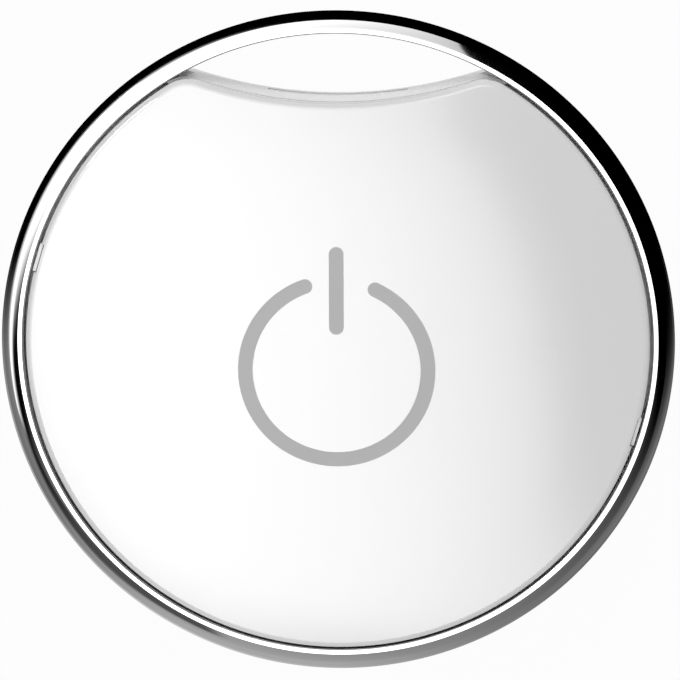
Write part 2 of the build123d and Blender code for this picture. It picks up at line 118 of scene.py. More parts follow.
# The dark screen low on the left, and how it widens below its middle and thins further round
DARK_START, DARK_LEVEL = 180, 245
DARK_START_HEIGHT = 61.5
DARK_SINK = 0.215
DARK_SPAN = (180, 203, 250, 253)
DARK_HALF_WIDTH = 5
DARK_ABOVE = 11
DARK_FADE = (0.5, 1.5)
DARK_WIDENING = 9
DARK_WIDE_SPAN = (186, 228, 230, 247)
DARK_THINNING = 0.22
DARK_THIN_SPAN = (212, 236)

# The small bright spot, and the glow round the floor
SPOT_GLOW = 9
SPOT_SPAN = (138, 144, 156, 164)
SPOT_HEIGHTS = (40, 43, 52, 56)
GROUND_SHARE = 0.8
GROUND_TURN = 12
GROUND_GLOW = 0.4
GROUND_SPAN = (165, 210, 235, 290)

# Lamps and fill that light the surfaces themselves. A lamp has its slopes, size and strength.
LAMP_DISTANCE = 0.8
KEY_LAMP = ((-0.15, -1.3), 0.5, 0.75)
BACK_LAMP = ((-0.2, 1.4), 0.5, 2.1)
WORLD_FILL = 0.5
FLOOR_REACH = 1.5
FLOOR_GREY = 0.85
FLOOR_ROUGHNESS = 0.9
FLOOR_WHITE = 0.95

# Levels of the fob, read from the frame
LAND_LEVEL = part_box("chrome_ring")[1].z
BOARD_LOW, BOARD_HIGH = (corner.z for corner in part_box("circuit_board"))
COVER_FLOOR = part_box("cell_pad")[0].z

# The ring's section, as its solid has it
RING_WIDTH = 1.38 * MM
RING_INNER_ROUND = 0.12 * MM
RING_LAND_WIDTH = 0.22 * MM
RING_BAND_WIDTH = 0.52 * MM
RING_BAND_DROP = 0.13 * MM
RING_BAND_CROWN = 0.014 * MM
RING_ROLL_ANGLE = math.radians(26)
RING_ROLL_PULL = 0.22 * MM
RING_WIDEST_DROP = 0.6 * MM
RING_SIDE_RADIUS = 0.6 * MM
RING_SIDE_LEAN = math.radians(32)
RING_SIDES = 480
RING_CURVE_STEPS = 12

# Edges of all small parts
EDGE_BEVEL = 0.015 * MM
SHARP_ANGLE = math.radians(40)
WELD_DISTANCE = 0.001 * MM

# Metal ends and solder of the chip parts
CAP_LENGTH = 0.24 * MM
CAP_PROUD = 0.012 * MM
FILLET_REACH = 0.22 * MM
FILLET_RISE = 0.45
PAD_MARGIN = 0.12 * MM
FILLET_DRAFT = 0.9 * PAD_MARGIN

# Leads of the radio, and the corner pads of other parts as shares of their widths
LEAD_PITCH = 0.5 * MM
LEAD_WIDTH = 0.24 * MM
LEAD_HEIGHT = 0.2 * MM
LEAD_PROUD = 0.02 * MM
LEAD_BEVEL = 0.004 * MM
LEADS_ON_A_SIDE = 8
PAD_THICKNESS = 0.03 * MM
PAD_BEVEL = 0.008 * MM
CORNER_PADS = {"crystal": 0.3, "chip_antenna": 0.14, "switch_base": 0.2}

# Test pads, vias and traces on the board's underside
TEST_PAD_RADIUS = 0.55 * MM
TEST_PAD_TAPER = 0.97
TEST_PAD_CIRCLE = 13.35 * MM
TEST_PAD_ANGLES = (40, 47, 54, 122, 129, 238, 246, 294, 302)
VIA_CIRCLE = TEST_PAD_CIRCLE + 1.5 * MM
VIA_TURN = 2.5
VIA_RADIUS = 0.22 * MM
VIA_HOLE = 0.1 * MM
VIA_SIDES = 20
TRACE_WIDTH = 0.3 * MM
TRACE_THICKNESS = 0.02 * MM
RIM_TRACES = ((134, 224), (314, 347))
RIM_TRACE_STEP = 3
RIM_TRACE_INSET = 0.5 * MM

# The snap dome's sheet, and the steps and sides of its mesh
SNAP_DOME_SHEET = 0.08 * MM
SNAP_DOME_STEPS = 12
SNAP_DOME_SIDES = 64

# Marks of the mould's ejector pins on the cover's inner floor
EJECTOR_MARKS = 6
EJECTOR_CIRCLE = 8.3 * MM
EJECTOR_INNER = 0.75 * MM
EJECTOR_OUTER = 0.9 * MM
EJECTOR_RISE = 0.03 * MM

# The slopes that a level surface shows to the camera
FLAT_SLOPES = -TOWARDS_CAMERA.xy / TOWARDS_CAMERA.z


def add_camera():
    """Place the camera so that the ring's top face lies where the photograph shows it."""
    scene = bpy.context.scene
    turn = Vector((0, 0, 1)).rotation_difference(TOWARDS_CAMERA)
    right = turn @ Vector((1, 0, 0))
    up = turn @ Vector((0, 1, 0))
    middle = IMAGE_SIZE / 2
    face_centre = Vector((0, 0, LAND_LEVEL))
    target = (
        face_centre
        + right * (middle - FACE_CENTRE_PIXEL[0]) / PIXELS_PER_MM * MM
        + up * (FACE_CENTRE_PIXEL[1] - middle) / PIXELS_PER_MM * MM
    )
    data = bpy.data.cameras.new("camera")
    data.sensor_width = SENSOR_WIDTH
    data.lens = SENSOR_WIDTH * CAMERA_DISTANCE / (IMAGE_SIZE / PIXELS_PER_MM * MM)
    data.clip_start = CAMERA_NEAR
    data.clip_end = CAMERA_FAR
    camera = bpy.data.objects.new("camera", data)
    camera.rotation_mode = "QUATERNION"
    camera.rotation_quaternion = turn
    camera.location = target + TOWARDS_CAMERA * CAMERA_DISTANCE
    scene.collection.objects.link(camera)
    scene.camera = camera


class Shader:
    """A node material with one principled shader, and short ways to add nodes to it."""

    def __init__(self, name, colour, roughness=0.5, metallic=0.0, **sockets):
        """Make the material. Further sockets go by name, with _ for each space."""
        self.material = bpy.data.materials.new(name)
        self.material.use_nodes = True
        self.tree = self.material.node_tree
        self.bsdf = self.tree.nodes["Principled BSDF"]
        self.set("Base Color", (*colour, 1.0))
        self.set("Roughness", roughness)
        self.set("Metallic", metallic)
        for socket, value in sockets.items():
            self.set(socket.replace("_", " "), value)

    def set(self, socket, value):
        """Give one of the shader's own sockets a constant value."""
        self.bsdf.inputs[socket].default_value = value

    def node(self, kind, **values):
        """Add a node and set its named inputs and properties."""
        made = self.tree.nodes.new(kind)
        for name, value in values.items():
            if hasattr(made, name):
                setattr(made, name, value)
            else:
                made.inputs[name.replace("_", " ")].default_value = value
        return made

    def link(self, source, target):
        """Join an output to an input."""
        self.tree.links.new(source, target)

    def place(self, scale=(1, 1, 1)):
        """Coordinates in the object's own frame, scaled by axis."""
        coordinates = self.node("ShaderNodeTexCoord")
        mapping = self.node("ShaderNodeMapping", Scale=scale)
        self.link(coordinates.outputs["Object"], mapping.inputs["Vector"])
        return mapping.outputs["Vector"]

    def noise(self, scale, detail=4.0, roughness=0.5, stretch=(1, 1, 1)):
        """A noise pattern over the surface; scale is in waves to the metre."""
        noise = self.node(
            "ShaderNodeTexNoise", Scale=scale, Detail=detail, Roughness=roughness
        )
        self.link(self.place(stretch), noise.inputs["Vector"])
        return noise.outputs["Fac"]

    def cells(self, scale):
        """A pattern of rounded cells; scale is in cells to the metre."""
        cells = self.node("ShaderNodeTexVoronoi", Scale=scale)
        self.link(self.place(), cells.inputs["Vector"])
        return cells.outputs["Distance"]

    def turned(self, scale):
        """Fine rings round the object's own axis, as a lathe leaves them."""
        flat = self.node("ShaderNodeVectorMath", operation="LENGTH")
        self.link(self.place((1, 1, 0)), flat.inputs[0])
        rings = self.node(
            "ShaderNodeTexNoise", noise_dimensions="1D", Scale=scale, Detail=6.0, Roughness=0.7
        )
        self.link(flat.outputs["Value"], rings.inputs["W"])
        return rings.outputs["Fac"]

    def ramp(self, value, low, high, socket, start=0.3, end=0.7):
        """Let a pattern move a socket between two values."""
        span = self.node("ShaderNodeMapRange")
        span.inputs["From Min"].default_value = start
        span.inputs["From Max"].default_value = end
        span.inputs["To Min"].default_value = low
        span.inputs["To Max"].default_value = high
        self.link(value, span.inputs["Value"])
        self.link(span.outputs["Result"], self.bsdf.inputs[socket])

    def tint(self, value, low, high, start=0.3, end=0.7):
        """Let a pattern move the base colour between two colours."""
        blend = self.node("ShaderNodeValToRGB")
        blend.color_ramp.elements[0].position = start
        blend.color_ramp.elements[0].color = (*low, 1.0)
        blend.color_ramp.elements[1].position = end
        blend.color_ramp.elements[1].color = (*high, 1.0)
        self.link(value, blend.inputs["Fac"])
        self.link(blend.outputs["Color"], self.bsdf.inputs["Base Color"])

    def bump(self, value, height):
        """Raise the surface by a pattern, height in metres."""
        bump = self.node("ShaderNodeBump", Strength=1.0, Distance=height)
        self.link(value, bump.inputs["Height"])
        self.link(bump.outputs["Normal"], self.bsdf.inputs["Normal"])


def grey(level):
    """A colour with three equal channels."""
    return (level, level, level)


def scaled(colour, factor):
    """A colour made brighter or darker."""
    return tuple(channel * factor for channel in colour)


def moulded_plastic(name, colour, roughness, skin=4e-7):
    """Moulded plastic: a faint uneven colour and the fine skin of its mould."""
    shader = Shader(name, colour, roughness=roughness)
    shader.tint(shader.noise(180.0, 3.0), scaled(colour, 0.98), colour)
    shader.ramp(shader.noise(1500.0, 5.0), roughness * 0.9, roughness * 1.1, "Roughness")
    shader.bump(shader.noise(5000.0, 3.0), skin)
    return shader.material


def gloss_face():
    """The face: bright white, glossy, as smooth as a polished mould leaves it."""
    shader = Shader("face_white", grey(0.93), roughness=0.07, IOR=1.55, Specular_IOR_Level=1.0)
    shader.tint(shader.noise(60.0, 2.0), grey(0.92), grey(0.93))
    shader.ramp(shader.noise(400.0, 3.0), 0.06, 0.08, "Roughness")
    return shader.material


def polished_metal():
    """The ring: bright plating with the faintest haze of handling."""
    shader = Shader("ring_chrome", grey(0.62), roughness=0.05, metallic=1.0)
    shader.tint(shader.noise(90.0, 2.0), grey(0.615), grey(0.625))
    shader.ramp(shader.noise(300.0, 3.0), 0.045, 0.06, "Roughness")
    return shader.material


def rolled_metal(name, colour, roughness, stretch=(1, 12, 12), relief=4e-7):
    """Sheet metal with the fine straight lines of its rolling."""
    shader = Shader(name, colour, roughness=roughness, metallic=1.0)
    lines = shader.noise(1500.0, 6.0, 0.6, stretch)
    shader.tint(shader.noise(250.0, 3.0), scaled(colour, 0.94), colour)
    shader.ramp(lines, roughness * 0.7, roughness * 1.4, "Roughness")
    shader.bump(lines, relief)
    return shader.material


def turned_metal(name, colour, roughness):
    """Pressed steel with faint rings round its middle."""
    shader = Shader(name, colour, roughness=roughness, metallic=1.0)
    rings = shader.turned(9000.0)
    shader.tint(shader.noise(300.0, 4.0), scaled(colour, 0.93), colour)
    shader.ramp(rings, roughness * 0.7, roughness * 1.5, "Roughness")
    shader.bump(rings, 1.5e-6)
    return shader.material


def symbol_ink():
    """The power symbol: flat grey ink with hardly any shine."""
    shader = Shader("symbol_grey", grey(0.57), roughness=0.5, Specular_IOR_Level=0.2)
    shader.tint(shader.noise(300.0, 3.0), grey(0.563), grey(0.577))
    return shader.material


def board_mask():
    """Solder mask over a faint weave of glass cloth."""
    shader = Shader("board_green", (0.02, 0.16, 0.07), roughness=0.3)
    weave = shader.node("ShaderNodeTexChecker", Scale=2500.0)
    shader.link(shader.place(), weave.inputs["Vector"])
    shader.tint(weave.outputs["Fac"], (0.016, 0.14, 0.06), (0.02, 0.165, 0.075))
    shader.ramp(shader.noise(900.0, 4.0), 0.24, 0.36, "Roughness")
    return shader.material


def soft_rubber():
    """Dark matt rubber of the seal."""
    shader = Shader("rubber_dark", grey(0.035), roughness=0.65)
    shader.tint(shader.noise(900.0, 4.0), grey(0.028), grey(0.045))
    shader.bump(shader.noise(7000.0, 3.0), 2e-6)
    return shader.material


def open_foam():
    """Grey foam with small open cells, painted darker towards the pits of its cells as shade."""
    shader = Shader("foam_grey", grey(0.05), roughness=0.95)
    cell_pits_and_painted_shade = shader.cells(4500.0)
    # Painted shade: the cells that sink the pits by bump also make the colour darker in them.
    shader.tint(cell_pits_and_painted_shade, grey(0.015), grey(0.075), 0.0, 0.5)
    shader.bump(cell_pits_and_painted_shade, 5e-5)
    return shader.material


def speckled(name, low, high, roughness, grain=9000.0):
    """Pressed powder, such as a chip's epoxy or a fired ceramic."""
    shader = Shader(name, high, roughness=roughness)
    specks = shader.noise(grain, 5.0, 0.7)
    shader.tint(specks, low, high, 0.35, 0.65)
    shader.bump(specks, 1.2e-6)
    return shader.material


def solder_tin():
    """Solder as it sets: bright, softly uneven."""
    shader = Shader("solder_tin", (0.78, 0.78, 0.76), roughness=0.28, metallic=1.0)
    lumps = shader.noise(3500.0, 3.0)
    shader.ramp(lumps, 0.2, 0.38, "Roughness")
    shader.bump(lumps, 6e-6)
    return shader.material


def assign(material, *names):
    """Give nodes of the frame one material."""
    for name in names:
        for slot in nodes[name].material_slots:
            slot.material = material


class Piece:
    """A mesh built up from small shapes, in metres, that then becomes one piece of the scene."""

    def __init__(self, name):
        """Start an empty mesh."""
        self.name = name
        self.mesh = bmesh.new()

    def block(self, low, high, draft=0.0, bevel=EDGE_BEVEL):
        """Add a block with rounded edges whose top is drawn in by draft on every side."""
        corners = []
        for z, inset in ((low[2], 0.0), (high[2], draft)):
            corners += [
                self.mesh.verts.new((x, y, z))
                for x, y in (
                    (low[0] + inset, low[1] + inset), (high[0] - inset, low[1] + inset),
                    (high[0] - inset, high[1] - inset), (low[0] + inset, high[1] - inset),
                )
            ]
        sides = [(0, 3, 2, 1), (4, 5, 6, 7)] + [
            (k, (k + 1) % 4, (k + 1) % 4 + 4, k + 4) for k in range(4)
        ]
        faces = [self.mesh.faces.new([corners[k] for k in side]) for side in sides]
        if low[2] > high[2]:
            bmesh.ops.reverse_faces(self.mesh, faces=faces)
        edges = list({edge for face in faces for edge in face.edges})
        bmesh.ops.bevel(
            self.mesh, geom=edges, offset=bevel, segments=2, profile=0.7, affect="EDGES"
        )

    def plate(self, outline, low, high):
        """Add a flat plate over an outline of (x, y) points that runs anticlockwise."""
        rings = [
            [self.mesh.verts.new((x, y, z)) for x, y in outline] for z in (low, high)
        ]
        count = len(outline)
        self.mesh.faces.new(list(reversed(rings[0])))
        self.mesh.faces.new(rings[1])
        for k in range(count):
            following = (k + 1) % count
            self.mesh.faces.new(
                (rings[0][k], rings[0][following], rings[1][following], rings[1][k])
            )

    def turn(self, centre, profile, sides=40):
        """Add a closed profile of (radius, z) points, turned round an upright axis. The profile
        runs anticlockwise as seen with the axis on its left."""
        rings = []
        for step in range(sides):
            angle = 2 * math.pi * step / sides
            rings.append([
                self.mesh.verts.new((
                    centre[0] + radius * math.cos(angle), centre[1] + radius * math.sin(angle), z
                ))
                for radius, z in profile
            ])
        for step in range(sides):
            here, there = rings[step], rings[(step + 1) % sides]
            for k in range(len(profile)):
                following = (k + 1) % len(profile)
                self.mesh.faces.new((here[k], there[k], there[following], here[following]))

    def finish(self, body, material):
        """Make the piece an object that rides on a body. With no body named, it is left unattached."""
        mesh = bpy.data.meshes.new(self.name)
        self.mesh.to_mesh(mesh)
        self.mesh.free()
        mesh.shade_smooth()
        mesh.set_sharp_from_angle(angle=SHARP_ANGLE)
        piece = bpy.data.objects.new(self.name, mesh)
        bpy.context.scene.collection.objects.link(piece)
        mesh.materials.append(material)
        if body:
            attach(piece, body)
        return piece


def ring_section():
    """The ring's section from its seat outwards and round, as (radius, z) points in parts whose
    first points are creases, but for the side that rolls into the outer edge."""
    low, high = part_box("chrome_ring")
    outer, seat = high.x, low.z
    inner = outer - RING_WIDTH
    land_inner = inner + RING_INNER_ROUND
    land_outer = land_inner + RING_LAND_WIDTH
    crease = Vector((land_outer + RING_BAND_WIDTH, LAND_LEVEL - RING_BAND_DROP))
    widest = LAND_LEVEL - RING_WIDEST_DROP
    side_level = widest - RING_SIDE_RADIUS * math.sin(RING_SIDE_LEAN)
    base = (
        outer
        - RING_SIDE_RADIUS * (1 - math.cos(RING_SIDE_LEAN))
        - (side_level - seat) * math.tan(RING_SIDE_LEAN)
    )
    shares = [step / RING_CURVE_STEPS for step in range(RING_CURVE_STEPS)]
    side = [
        (
            outer - RING_SIDE_RADIUS * (1 - math.cos(RING_SIDE_LEAN * (1 - share))),
            widest - RING_SIDE_RADIUS * math.sin(RING_SIDE_LEAN * (1 - share)),
        )
        for share in shares
    ]
    pulls = [
        Vector((outer, widest)),
        Vector((outer, widest + RING_ROLL_PULL)),
        crease + Vector((math.cos(RING_ROLL_ANGLE), -math.sin(RING_ROLL_ANGLE))) * RING_ROLL_PULL,
        crease,
    ]
    roll = [
        sum((
            pull * (math.comb(3, k) * share**k * (1 - share) ** (3 - k))
            for k, pull in enumerate(pulls)
        ), Vector((0, 0)))
        for share in shares
    ]
    band = [
        crease.lerp(Vector((land_outer, LAND_LEVEL)), share)
        + Vector((0, 4 * RING_BAND_CROWN * share * (1 - share)))
        for share in shares
    ]
    inner_round = [
        (
            land_inner - RING_INNER_ROUND * math.sin(math.pi / 2 * share),
            LAND_LEVEL - RING_INNER_ROUND * (1 - math.cos(math.pi / 2 * share)),
        )
        for share in shares
    ]
    return [
        [(inner, seat)], [(base, seat)] + side + roll, band, [(land_outer, LAND_LEVEL)],
        inner_round, [(inner, LAND_LEVEL - RING_INNER_ROUND)],
    ]


def add_ring(material):
    """The polished ring, turned finely enough that its reflections run clean."""
    parts = ring_section()
    section = [point for part in parts for point in part]
    count = len(section)
    creases = {sum(len(part) for part in parts[:k]) for k in range(len(parts))}
    points = []
    for side in range(RING_SIDES):
        turn = 2 * math.pi * side / RING_SIDES
        points += [(radius * math.cos(turn), radius * math.sin(turn), z) for radius, z in section]
    faces = []
    for side in range(RING_SIDES):
        here, there = side * count, (side + 1) % RING_SIDES * count
        for k in range(count):
            following = (k + 1) % count
            faces.append((here + k, there + k, there + following, here + following))
    ring = add_mesh("polished_ring", points, faces)
    ring.data.shade_smooth()
    for edge in ring.data.edges:
        places = {vertex % count for vertex in edge.vertices}
        edge.use_edge_sharp = len(places) == 1 and places <= creases
    ring.data.materials.append(material)
    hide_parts("chrome_ring")
    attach(ring, "body")


def solids_of(node):
    """The box of each separate solid of a node, as its lowest and highest corners."""
    mesh = bmesh.new()
    mesh.from_mesh(nodes[node].data)
    bmesh.ops.remove_doubles(mesh, verts=mesh.verts, dist=WELD_DISTANCE)
    left = set(mesh.verts)
    boxes = []
    while left:
        front = [left.pop()]
        group = []
        while front:
            vert = front.pop()
            group.append(vert.co.copy())
            for edge in vert.link_edges:
                other = edge.other_vert(vert)
                if other in left:
                    left.remove(other)
                    front.append(other)
        boxes.append(tuple(
            Vector([pick(point[axis] for point in group) for axis in range(3)])
            for pick in (min, max)
        ))
    mesh.free()
    return sorted(boxes, key=lambda box: tuple(box[0]))


def add_end_caps(solder):
    """Metal ends of the chip capacitors and resistors, and the solder that holds them."""
    ends = Piece("chip_part_ends")
    joints = Piece("chip_part_solder")
    for node in ("capacitors", "resistors"):
        for low, high in solids_of(node):
            for side in (-1, 1):
                near = low.x if side < 0 else high.x - CAP_LENGTH
                ends.block(
                    (near - CAP_PROUD, low.y - CAP_PROUD, low.z),
                    (near + CAP_LENGTH + CAP_PROUD, high.y + CAP_PROUD, high.z + CAP_PROUD),
                )
                foot = low.x - FILLET_REACH if side < 0 else high.x - PAD_MARGIN
                joints.block(
                    (foot, low.y - PAD_MARGIN, BOARD_HIGH),
                    (foot + FILLET_REACH + PAD_MARGIN, high.y + PAD_MARGIN,
                     BOARD_HIGH + (high.z - low.z) * FILLET_RISE),
                    draft=FILLET_DRAFT,
                )
    ends.finish("body", solder)
    joints.finish("body", solder)


def add_chip_leads(solder):
    """Leads along the radio's four sides, and the corner pads of the crystal, the antenna and
    the switch."""
    low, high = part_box("radio_chip")
    middle = (low + high) / 2
    leads = Piece("radio_chip_leads")
    for k in range(LEADS_ON_A_SIDE):
        along = (k - (LEADS_ON_A_SIDE - 1) / 2) * LEAD_PITCH
        for side in (-1, 1):
            edge_x = low.x if side < 0 else high.x
            edge_y = low.y if side < 0 else high.y
            for x, y, wide, deep in (
                (edge_x, middle.y + along, LEAD_PROUD, LEAD_WIDTH / 2),
                (middle.x + along, edge_y, LEAD_WIDTH / 2, LEAD_PROUD),
            ):
                leads.block(
                    (x - wide, y - deep, BOARD_HIGH), (x + wide, y + deep, BOARD_HIGH + LEAD_HEIGHT),
                    bevel=LEAD_BEVEL,
                )
    leads.finish("body", solder)
    pads = Piece("module_pads")
    for node, share in CORNER_PADS.items():
        low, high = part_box(node)
        reach = (high.x - low.x) * share
        for side_x in (-1, 1):
            for side_y in (-1, 1):
                x = low.x if side_x < 0 else high.x - reach
                y = low.y if side_y < 0 else high.y - reach
                pads.block(
                    (x - PAD_MARGIN, y - PAD_MARGIN, BOARD_HIGH),
                    (x + reach + PAD_MARGIN, y + reach + PAD_MARGIN, BOARD_HIGH + PAD_THICKNESS),
                    bevel=PAD_BEVEL,
                )
    pads.finish("body", solder)


def polar(radius, angle):
    """The point (x, y) at a radius and an angle in degrees."""
    return (radius * math.cos(math.radians(angle)), radius * math.sin(math.radians(angle)))


def add_board_underside(solder, gold, mask):
    """What an open back shows on the board: gold test pads, vias and raised traces."""
    pads = Piece("test_pads")
    vias = Piece("board_vias")
    traces = Piece("board_traces")
    pad_profile = [
        (0.0, BOARD_LOW), (0.0, BOARD_LOW - PAD_THICKNESS),
        (TEST_PAD_RADIUS * TEST_PAD_TAPER, BOARD_LOW - PAD_THICKNESS),
        (TEST_PAD_RADIUS, BOARD_LOW),
    ]
    via_profile = [
        (VIA_HOLE, BOARD_LOW), (VIA_HOLE, BOARD_LOW - PAD_THICKNESS),
        (VIA_RADIUS, BOARD_LOW - PAD_THICKNESS), (VIA_RADIUS, BOARD_LOW),
    ]
    for angle in TEST_PAD_ANGLES:
        pad, via = polar(TEST_PAD_CIRCLE, angle), polar(VIA_CIRCLE, angle + VIA_TURN)
        pads.turn(pad, pad_profile)
        vias.turn(via, via_profile, sides=VIA_SIDES)
        strip(traces, [pad, via])
    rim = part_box("circuit_board")[1].x - RIM_TRACE_INSET
    for start, end in RIM_TRACES:
        strip(traces, [polar(rim, angle) for angle in range(start, end + 1, RIM_TRACE_STEP)])
    pads.finish("body", gold)
    vias.finish("body", solder)
    traces.finish("body", mask)


def strip(piece, points):
    """Add a trace of even width along points on the board's underside."""
    right, left = [], []
    for index, point in enumerate(points):
        before, after = points[max(index - 1, 0)], points[min(index + 1, len(points) - 1)]
        along = (Vector(after) - Vector(before)).normalized()
        side = Vector((-along.y, along.x)) * TRACE_WIDTH / 2
        right.append(tuple(Vector(point) - side))
        left.append(tuple(Vector(point) + side))
    piece.plate(right + left[::-1], BOARD_LOW - TRACE_THICKNESS, BOARD_LOW)


def add_snap_dome(material):
    """The switch's snap dome, built in its rest shape; the real dome goes flat under the plunger as
    the face is pressed.
    """
    low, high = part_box("snap_dome")
    radius, rise = high.x, high.z - low.z - SNAP_DOME_SHEET
    curve = (radius**2 + rise**2) / (2 * rise)
    leans = [
        math.asin(radius / curve) * step / SNAP_DOME_STEPS for step in range(SNAP_DOME_STEPS + 1)
    ]
    under = [
        (curve * math.sin(lean), low.z + rise - curve * (1 - math.cos(lean))) for lean in leans
    ]
    over = [(out, level + SNAP_DOME_SHEET) for out, level in reversed(under)]
    dome = Piece("flexing_dome")
    dome.turn((0, 0), under + over, sides=SNAP_DOME_SIDES)
    piece = dome.finish(None, material)
    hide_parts("snap_dome")
    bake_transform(piece)


def add_ejector_marks(material):
    """Round marks that the mould's ejector pins leave on the cover's inner floor."""
    marks = Piece("ejector_marks")
    top = COVER_FLOOR + EJECTOR_RISE
    profile = [
        (EJECTOR_INNER, COVER_FLOOR), (EJECTOR_OUTER, COVER_FLOOR),
        (EJECTOR_OUTER - EJECTOR_RISE / 2, top), (EJECTOR_INNER + EJECTOR_RISE / 2, top),
    ]
    for mark in range(EJECTOR_MARKS):
        marks.turn(polar(EJECTOR_CIRCLE, 360 * mark / EJECTOR_MARKS), profile)
    marks.finish("cover", material)


def soft_step(start, end, value):
    """Rise smoothly from 0 at start to 1 at end."""
    share = min(max((value - start) / (end - start), 0.0), 1.0)
    return share * share * (3 - 2 * share)


def soft_window(value, rise_start, rise_end, fall_start, fall_end):
    """Rise from 0 to 1 over the first two values and fall back over the last two."""
    return soft_step(rise_start, rise_end, value) * (1 - soft_step(fall_start, fall_end, value))


def compass(x, y):
    """The angle from +X towards +Y in degrees, counted from a start that no glow crosses."""
    return (math.degrees(math.atan2(y, x)) - COMPASS_START) % 360 + COMPASS_START


def height_over(x, y):
    """The angle above the horizon, in degrees, of a place given by its slopes."""
    return math.degrees(math.atan2(1, math.hypot(x, y)))


def horizon_glow(angle):
    """How bright the tent is low down: dark on the keyring's side, grey on the other."""
    foot = FOOT_GLOW * soft_window(angle, *FOOT_SPAN)
    return HORIZON_GLOW * soft_window(angle, *HORIZON_SPAN) + foot


def surround_glow(angle, height):
    """How bright the tent is beside the softbox, by compass angle and height in degrees."""
    high = HIGH_GLOW * soft_window(angle, *HIGH_SPAN)
    low_share = 1 - soft_step(*LOW_HEIGHTS, height + LOW_SINK * max(angle - LOW_SINK_START, 0))
    grey_part = high + (horizon_glow(angle) - high) * low_share
    left_part = LEFT_GLOW * soft_window(angle, *LEFT_SPAN) * left_share(angle, height)
    return max(grey_part, left_part) * (1 - dark_share(angle, height))


def left_share(angle, height):
    """How much of the white on the left, whose foot sinks as it goes round, is seen."""
    return soft_step(*LEFT_HEIGHTS, height + LEFT_SINK * angle)


def dark_share(angle, height):
    """How much a dark screen, low on the left, hides: a streak that sinks and swells as it
    goes round, and ends abruptly."""
    along = min(max(angle, DARK_START), DARK_LEVEL) - DARK_START
    off = height - DARK_START_HEIGHT + DARK_SINK * along
    half_width = DARK_ABOVE
    if off < 0:
        half_width = DARK_HALF_WIDTH + DARK_WIDENING * soft_window(angle, *DARK_WIDE_SPAN)
    across = 1 - soft_step(DARK_FADE[0] * half_width, DARK_FADE[1] * half_width, abs(off))
    thinning = DARK_THINNING * soft_step(*DARK_THIN_SPAN, angle)
    return across * soft_window(angle, *DARK_SPAN) * (1 - thinning)


def softbox_edge(y):
    """The softbox's right edge, as a slope to +X."""
    if y > 0:
        return EDGE_AT_HEAD + HEAD_LEAN * y
    return EDGE_AT_FOOT - (EDGE_AT_FOOT - EDGE_AT_HEAD) * math.exp(y / EDGE_CURVE)


def softbox_glow(x, y):
    """How bright the softbox is: it fades to its right edge, is dim at its head, and is only
    white where no part of the face mirrors it."""
    inside = softbox_edge(y) - x
    over_face = FACE_GLOW * soft_step(-EDGE_SOFTNESS, EDGE_SOFTNESS, inside) + FACE_GLOW_RISE * (
        1 - math.exp(-max(inside, 0) / FACE_GLOW_REACH)
    )
    over_head = HEAD_GLOW + HEAD_GLOW_RISE * max(inside, 0)
    head = soft_step(*HEAD_START, y)
    glow = over_face * (1 - head) + over_head * head
    off_face = soft_step(*FACE_REACH, math.hypot(x - FLAT_SLOPES.x, y - FLAT_SLOPES.y))
    glow = (glow + (min(glow, RING_GLOW) - glow) * off_face) * soft_step(*SOFTBOX_FOOT, y)
    angle, height = compass(x, y), height_over(x, y)
    seen = left_share(angle, height) * (1 - dark_share(angle, height))
    spot = SPOT_GLOW * soft_window(angle, *SPOT_SPAN) * soft_window(height, *SPOT_HEIGHTS)
    return max(glow * seen, surround_glow(angle, height)) + spot


def glow_material():
    """A surface that shines as brightly as its own points say."""
    material = bpy.data.materials.new("glow")
    material.use_nodes = True
    tree = material.node_tree
    tree.nodes.remove(tree.nodes["Principled BSDF"])
    level = tree.nodes.new("ShaderNodeAttribute")
    level.attribute_name = "glow"
    emission = tree.nodes.new("ShaderNodeEmission")
    tree.links.new(level.outputs["Fac"], emission.inputs["Strength"])
    tree.links.new(emission.outputs["Emission"], tree.nodes["Material Output"].inputs["Surface"])
    return material


def add_mesh(name, points, faces):
    """Make an object from points and faces."""
    mesh = bpy.data.meshes.new(name)
    mesh.from_pydata([tuple(point) for point in points], [], faces)
    mesh.update()
    made = bpy.data.objects.new(name, mesh)
    bpy.context.scene.collection.objects.link(made)
    return made


def add_glow(name, rows, columns, place):
    """Add a sheet that only reflections show. place gives the point and the glow for each
    share of the way along its rows and columns."""
    placed = [
        place(row / rows, column / columns) for row in range(rows + 1) for column in range(columns + 1)
    ]
    firsts = [
        row * (columns + 1) + column for row in range(rows) for column in range(columns)
    ]
    faces = [(k, k + 1, k + columns + 2, k + columns + 1) for k in firsts]
    sheet = add_mesh(name, [point for point, glow in placed], faces)
    glow = sheet.data.attributes.new("glow", "FLOAT", "POINT")
    glow.data.foreach_set("value", [level for point, level in placed])
    sheet.data.materials.append(tent_glow)
    sheet.visible_camera = False
    sheet.visible_diffuse = False
    sheet.visible_transmission = False
    sheet.visible_shadow = False


